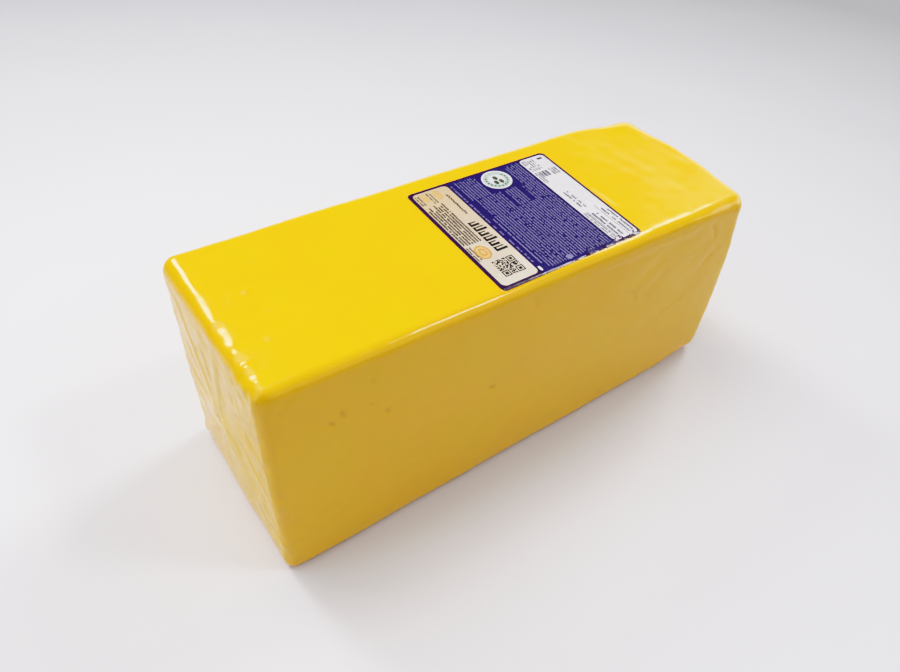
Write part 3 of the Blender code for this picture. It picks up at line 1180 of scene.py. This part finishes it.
class NodeKit:
    """Short ways to lay out shader nodes in one tree."""

    def __init__(self, tree: Tree) -> None:
        """Take the tree that the nodes go into."""
        self.tree = tree

    def add(self, kind: str, *feeds: object, **values: object) -> bpy.types.Node:
        """Return a new node.

        Args:
            kind: its type, as bpy names it.
            feeds: values or links of its first inputs, in their order.
            values: settings of the node by name, or values or links of its inputs by their names in
                lower case with underscores.

        Returns:
            The node.
        """
        node = self.tree.nodes.new(kind)
        for name, value in values.items():
            inputs = {socket.name.lower().replace(" ", "_"): socket for socket in reversed(node.inputs)}
            if name in inputs:
                self.feed(inputs[name], value)
            else:
                setattr(node, name, value)
        for socket, value in zip(node.inputs, feeds):
            self.feed(socket, value)
        return node

    def feed(self, socket: Socket, value: object) -> None:
        """Link a socket to another, or set its value.

        Args:
            socket: the input.
            value: an output that it takes its value from, or the value.
        """
        if isinstance(value, Socket):
            self.tree.links.new(value, socket)
        else:
            socket.default_value = value

    def attribute(self, name: str) -> Socket:
        """Return a number that the mesh carries."""
        return self.add("ShaderNodeAttribute", attribute_name=name).outputs["Fac"]

    def math(self, operation: str, *terms: object) -> Socket:
        """Return the result of one sum."""
        return self.add("ShaderNodeMath", *terms, operation=operation).outputs[0]

    def dot(self, first: object, second: object) -> Socket:
        """Return the dot product of two vectors."""
        return self.add("ShaderNodeVectorMath", first, second, operation="DOT_PRODUCT").outputs["Value"]

    def span(self, value: object, low: float, high: float, to_low: float, to_high: float) -> Socket:
        """Return a value carried from one range to another, and held inside it."""
        return self.add("ShaderNodeMapRange", value, low, high, to_low, to_high).outputs[0]

    def blend(self, share: object, first: object, second: object) -> Socket:
        """Return a mix of two colours.

        Args:
            share: share of the second, from 0 to 1.
            first: a link, or red, green and blue.
            second: the same of the other.

        Returns:
            The socket of the mix.
        """
        node = self.add("ShaderNodeMix", share, data_type="RGBA")
        for socket, colour in ((node.inputs[6], first), (node.inputs[7], second)):
            self.feed(socket, (*colour, 1.0) if isinstance(colour, tuple) else colour)
        return node.outputs[2]

    def noise(self, where: Socket, scale: object, detail: float = 3.0, roughness: float = 0.55) -> Socket:
        """Return plain noise from 0 to 1 with a number of waves for each metre."""
        node = self.add("ShaderNodeTexNoise", vector=where, scale=scale, detail=detail, roughness=roughness)
        return node.outputs["Fac"]


@dataclass(frozen=True)
class UnevenSurface:
    """The uneven surface that film and print share, as one node group."""

    tone_span: Pair = (0.32, 0.68)
    gloss_span: Pair = (0.35, 0.65)
    gloss_scale: float = 4.3
    fine_scale: float = 13.0
    coarse_scale: float = 3.1
    fine_share: float = 0.35
    fine_detail: float = 2.0

    def group(self) -> Tree:
        """Build the node group.

        Its input Scale is the number of coarse patches for each metre. Tone and Gloss are soft masks from
        0 to 1, and Height is the fine relief, from 0 to 1.

        Returns:
            The group's tree.
        """
        tree = bpy.data.node_groups.new("uneven_surface", "ShaderNodeTree")
        tree.interface.new_socket("Where", in_out="INPUT", socket_type="NodeSocketVector")
        tree.interface.new_socket("Scale", in_out="INPUT", socket_type="NodeSocketFloat")
        for name in ("Tone", "Gloss", "Height"):
            tree.interface.new_socket(name, in_out="OUTPUT", socket_type="NodeSocketFloat")
        kit = NodeKit(tree)
        where, scale = kit.add("NodeGroupInput").outputs[:2]
        gloss, fine, coarse = (
            kit.noise(where, kit.math("MULTIPLY", scale, times), self.fine_detail)
            for times in (self.gloss_scale, self.fine_scale, self.coarse_scale))
        kit.add(
            "NodeGroupOutput",
            kit.span(kit.noise(where, scale), *self.tone_span, 0.0, 1.0),
            kit.span(gloss, *self.gloss_span, 0.0, 1.0),
            kit.math("ADD", kit.math("MULTIPLY", fine, self.fine_share),
                     kit.math("MULTIPLY", coarse, 1.0 - self.fine_share)),
        )
        return tree


def new_material(name: str) -> tuple[Material, NodeKit, bpy.types.Node]:
    """Make a material with a plain shader.

    Args:
        name: name of the material.

    Returns:
        The material, a kit for its nodes and its Principled shader.
    """
    material = bpy.data.materials.new(name)
    material.use_nodes = True
    kit = NodeKit(material.node_tree)
    return material, kit, material.node_tree.nodes["Principled BSDF"]


@dataclass(frozen=True, kw_only=True)
class GlossyFinish:
    """A smooth finish that is a little uneven in tone, gloss and height."""

    patches: float
    bump_depth: float
    bump_share: float
    ior: float

    def start(self, name: str, uneven: Tree, roughness: float,
              spread: float) -> tuple[Material, NodeKit, Socket, Socket]:
        """Make a material with all but its colour.

        Args:
            name: name of the material.
            uneven: the node group of the uneven surface.
            roughness: roughness of its glossiest patches.
            spread: how much rougher its dullest patches are.

        Returns:
            The material, a kit for its nodes, the mask of its patches of tone and the socket of its colour.
        """
        material, kit, shader = new_material(name)
        where = kit.add("ShaderNodeTexCoord").outputs["Object"]
        patchy = kit.add("ShaderNodeGroup", node_tree=uneven, where=where, scale=self.patches).outputs
        rough = kit.span(patchy["Gloss"], 0.0, 1.0, roughness, roughness + spread)
        kit.feed(shader.inputs["Roughness"], rough)
        kit.feed(shader.inputs["IOR"], self.ior)
        bump = kit.add("ShaderNodeBump", strength=self.bump_share, distance=self.bump_depth,
                       height=patchy["Height"])
        kit.feed(shader.inputs["Normal"], bump.outputs["Normal"])
        return material, kit, patchy["Tone"], shader.inputs["Base Color"]


@dataclass(frozen=True, kw_only=True)
class FilmFinish(GlossyFinish):
    """Glossy yellow film, tight on the cheese."""

    bright: Triple = (0.868, 0.434, 0.005)
    # The deeper colour serves both random patches of tone and a painted shade tone on upright film.
    deep_and_side_tone: Triple = (0.780, 0.480, 0.003)
    # Painted shade in the pits: film darkens towards this colour as a pit deepens.
    dark: Triple = (0.520, 0.240, 0.003)
    # Painted sheen: the paler colour that the crests of the gathered folds take on.
    pale: Triple = (0.860, 0.560, 0.060)
    deep_patches: float = 0.35
    painted_side_tone: float = 0.5
    pit_depths: Pair = (0.12, 0.50)
    pit_shade_share: float = 0.5
    crest_heights: Pair = (0.2, 1.1)
    crest_sheen_share: float = 0.5
    roughness: float = 0.13
    roughness_spread: float = 0.06
    patches: float = 36.0
    bump_depth: float = 0.05 * MM
    bump_share: float = 0.5
    ior: float = 1.31

    def material(self, uneven: Tree) -> Material:
        """Make the material: mottled yellow, painted shade tone on upright film and in pits, painted sheen
        on end crests.

        Args:
            uneven: the node group of the uneven surface.

        Returns:
            The material. It reads the film's attributes upright, pit, fold and gathered.
        """
        material, kit, tone, base = self.start("yellow_film", uneven, self.roughness, self.roughness_spread)
        patches = kit.math("MULTIPLY", tone, self.deep_patches)
        # Painted shade tone: upright film is shifted towards the deeper colour for how light falls on the
        # sides.
        sides = kit.math("MULTIPLY", kit.attribute("upright"), self.painted_side_tone)
        colour = kit.blend(kit.math("ADD", patches, sides), self.bright, self.deep_and_side_tone)
        # Painted shade in the pits, by their depth.
        pits = kit.span(kit.attribute("pit"), *self.pit_depths, 0.0, self.pit_shade_share)
        colour = kit.blend(pits, colour, self.dark)
        # Painted sheen on the crests of the folds of the ends.
        crests = kit.span(kit.attribute("fold"), *self.crest_heights, 0.0, self.crest_sheen_share)
        crests = kit.math("MULTIPLY", crests, kit.attribute("gathered"))
        kit.feed(base, kit.blend(crests, colour, self.pale))
        return material


@dataclass(frozen=True, kw_only=True)
class InkFinish(GlossyFinish):
    """Print on the label, under a gloss."""

    ink: Ink
    mottle: float = 0.08
    mottle_share: float = 0.5
    patches: float = 60.0
    bump_depth: float = 0.02 * MM
    bump_share: float = 0.3
    ior: float = 1.45

    def material(self, uneven: Tree) -> Material:
        """Make the material of one ink, a little uneven in tone and gloss.

        Args:
            uneven: the node group of the uneven surface.

        Returns:
            The material. It reads the attribute near of a piece of print.
        """
        far, near, roughness = self.ink.value
        name = "ink_" + self.ink.name.lower()
        material, kit, tone, base = self.start(name, uneven, roughness, self.mottle)
        colour = kit.blend(kit.attribute("near"), far, near)
        dull = tuple((1.0 - 2.0 * self.mottle) * (a + b) / 2.0 for a, b in zip(far, near))
        kit.feed(base, kit.blend(kit.math("MULTIPLY", tone, self.mottle_share), colour, dull))
        return material


@dataclass(frozen=True)
class Lamp:
    """A softbox: its middle, its width and height in metres, and how strongly it lights the block."""

    name: str
    place: Triple
    size: Pair
    irradiance: float

    def build(self) -> Object:
        """Build the lamp, turned to shine on the block.

        Its energy is pi times its distance squared times the irradiance, as a lamp facing the block needs.

        Returns:
            The lamp.
        """
        towards = Vector(self.place)
        light = bpy.data.lights.new(self.name, "AREA")
        light.shape = "RECTANGLE"
        light.size, light.size_y = self.size
        light.energy = math.pi * towards.length_squared * self.irradiance
        lamp = add_object(self.name, light)
        lamp.location = towards
        lamp.rotation_euler = towards.to_track_quat("Z", "Y").to_euler()
        return lamp


@dataclass
class Studio:
    """Pale floor with a painted falloff of light, soft lamps and the camera at the photograph's angle."""

    floor_half: float = 3.0
    floor_colour: Triple = (0.695, 0.680, 0.722)
    # Painted falloff of light: the floor dims from this middle, over the span below, down to the share
    # below.
    floor_middle: Triple = (-0.12, 0.03, 0.0)
    floor_falloff_span: Pair = (0.20, 1.15)
    floor_falloff_dim: float = 0.36
    floor_mottle: float = 0.08
    floor_patches: float = 6.0
    floor_roughness: float = 0.65
    floor_level: float = -0.05 * MM
    room_light: float = 0.02
    backdrop_light: float = 1.60
    backdrop_way: Triple = (0.84, 0.54, 0.0)
    backdrop_sides: Pair = (0.60, 0.80)
    backdrop_rise: Triple = (-0.204, 0.291, 1.0)
    backdrop_top: Pair = (0.42, 0.50)
    backdrop_colour: Triple = (0.74, 0.73, 0.78)
    lamps: tuple[Lamp, ...] = (
        Lamp("left_overhead_lamp", (-1.15, 0.30, 2.22), (2.7, 2.1), 1.60),
        Lamp("back_overhead_lamp", (-0.35, 0.95, 2.29), (1.4, 1.4), 1.08),
        Lamp("back_lamp", (-0.45, 1.89, 1.58), (0.60, 0.62), 1.22),
        Lamp("left_lamp", (-2.30, 0.0, 0.95), (1.8, 1.3), 0.74),
        Lamp("front_lamp", (0.75, -2.10, 1.05), (2.4, 1.3), 0.42),
        Lamp("right_front_lamp", (2.30, -0.90, 0.60), (1.0, 1.0), 0.68),
        Lamp("front_strip_lamp", (1.15, -1.00, 1.97), (0.40, 0.24), 0.70),
        Lamp("right_strip_lamp", (1.72, 0.45, 1.76), (0.70, 0.62), 1.18),
    )
    camera_place: Triple = (-0.20245, -0.22989, 0.31544)
    camera_target: Triple = (0.01369, 0.04243, 0.0)
    camera_roll: float = 4.471
    lens: float = 28.292
    sensor: float = 36.0
    tone_white: float = 4.0
    tone_points: tuple[Pair, ...] = ((0.30, 0.30), (0.60, 0.58), (1.15, 0.86), (1.8, 0.965))

    def build_floor(self) -> None:
        """Lay the floor, which isn't part of the object. It is mottled at random and dims away from its
        middle, a painted falloff of light.
        """
        material, kit, shader = new_material("pale_floor")
        where = kit.add("ShaderNodeTexCoord").outputs["Object"]
        away = kit.add("ShaderNodeVectorMath", where, self.floor_middle, operation="DISTANCE")
        far = kit.span(away.outputs["Value"], *self.floor_falloff_span, 0.0, 1.0)
        patches = kit.noise(where, self.floor_patches)
        dim = tuple(self.floor_falloff_dim * part for part in self.floor_colour)
        # Random mottle plus painted falloff of light towards the floor's edges.
        mottle_and_falloff = kit.math("MULTIPLY_ADD", patches, self.floor_mottle, far)
        kit.feed(shader.inputs["Base Color"], kit.blend(mottle_and_falloff, self.floor_colour, dim))
        kit.feed(shader.inputs["Roughness"], self.floor_roughness)
        corners = [(x * self.floor_half, y * self.floor_half, self.floor_level)
                   for x, y in ((-1, -1), (1, -1), (1, 1), (-1, 1))]
        mesh = bpy.data.meshes.new("floor")
        mesh.from_pydata(corners, [], [(0, 1, 2, 3)])
        mesh.materials.append(material)
        add_object("floor", mesh)

    def build_room(self) -> None:
        """Set the room that the block mirrors.

        It is dim, with a low bright backdrop beyond the block. What the camera sees past the floor is
        a plain pale backdrop.
        """
        world = bpy.data.worlds.new("room")
        bpy.context.scene.world = world
        world.use_nodes = True
        kit = NodeKit(world.node_tree)
        background = world.node_tree.nodes["Background"]
        way = kit.add("ShaderNodeTexCoord").outputs["Generated"]
        beyond = kit.span(kit.dot(way, self.backdrop_way), *self.backdrop_sides, 0.0, 1.0)
        low = kit.span(kit.dot(way, self.backdrop_rise), *self.backdrop_top, 1.0, 0.0)
        glow = kit.math("MULTIPLY", beyond, kit.math("POWER", low, 2.0))
        light = kit.span(glow, 0.0, 1.0, self.room_light, self.backdrop_light)
        seen = kit.add("ShaderNodeLightPath").outputs["Is Camera Ray"]
        kit.feed(background.inputs["Color"], kit.blend(seen, light, self.backdrop_colour))

    def build_camera(self, shift: Array) -> None:
        """Set up the camera, slid with the block.

        Args:
            shift: slide from the block's own frame to the solids' frame.
        """
        place = Vector(self.camera_place)
        forward = (Vector(self.camera_target) - place).normalized()
        right = forward.cross(Vector((0.0, 0.0, 1.0))).normalized()
        up = right.cross(forward)
        turn = math.radians(self.camera_roll)
        rolled_right = math.cos(turn) * right + math.sin(turn) * up
        rolled_up = math.cos(turn) * up - math.sin(turn) * right
        camera = add_object("camera", bpy.data.cameras.new("camera"))
        camera.data.lens = self.lens
        camera.data.sensor_width = self.sensor
        camera.data.clip_start = 0.01
        matrix = Matrix((rolled_right, rolled_up, -forward)).transposed().to_4x4()
        matrix.translation = place + Vector(shift)
        camera.matrix_world = matrix
        bpy.context.scene.camera = camera

    def set_tones(self) -> None:
        """Give the view a soft shoulder, as a camera has: bright parts bend towards white slowly."""
        view = bpy.context.scene.view_settings
        view.view_transform = "Standard"
        view.use_curve_mapping = True
        mapping = view.curve_mapping
        mapping.white_level = (self.tone_white,) * 3
        points = mapping.curves[3].points
        for light, shown in self.tone_points:
            points.new(light / self.tone_white, shown)
        for point in points:
            point.handle_type = "AUTO_CLAMPED"
        mapping.update()

    def build(self, shift: Array) -> None:
        """Build the whole studio round the block.

        Args:
            shift: slide from the block's own frame to the solids' frame.
        """
        self.build_floor()
        self.build_room()
        for lamp in self.lamps:
            lamp.build()
        self.build_camera(shift)
        self.set_tones()


def main() -> None:
    """Build the film, the label and its print, and the studio."""
    logging.basicConfig(level=logging.INFO, format="%(name)s %(message)s")
    uneven = UnevenSurface().group()
    form = BlockForm()
    label = Label(form)
    block = WrappedBlock(form)
    block.build(label, FilmFinish().material(uneven))
    inks = {ink: InkFinish(ink=ink).material(uneven) for ink in Ink}
    label.build(inks, block.shift)
    LOG.info("slide onto the solids: %s mm", np.round(block.shift / MM, 3))
    Studio().build(block.shift)


if __name__ == "__main__":
    main()
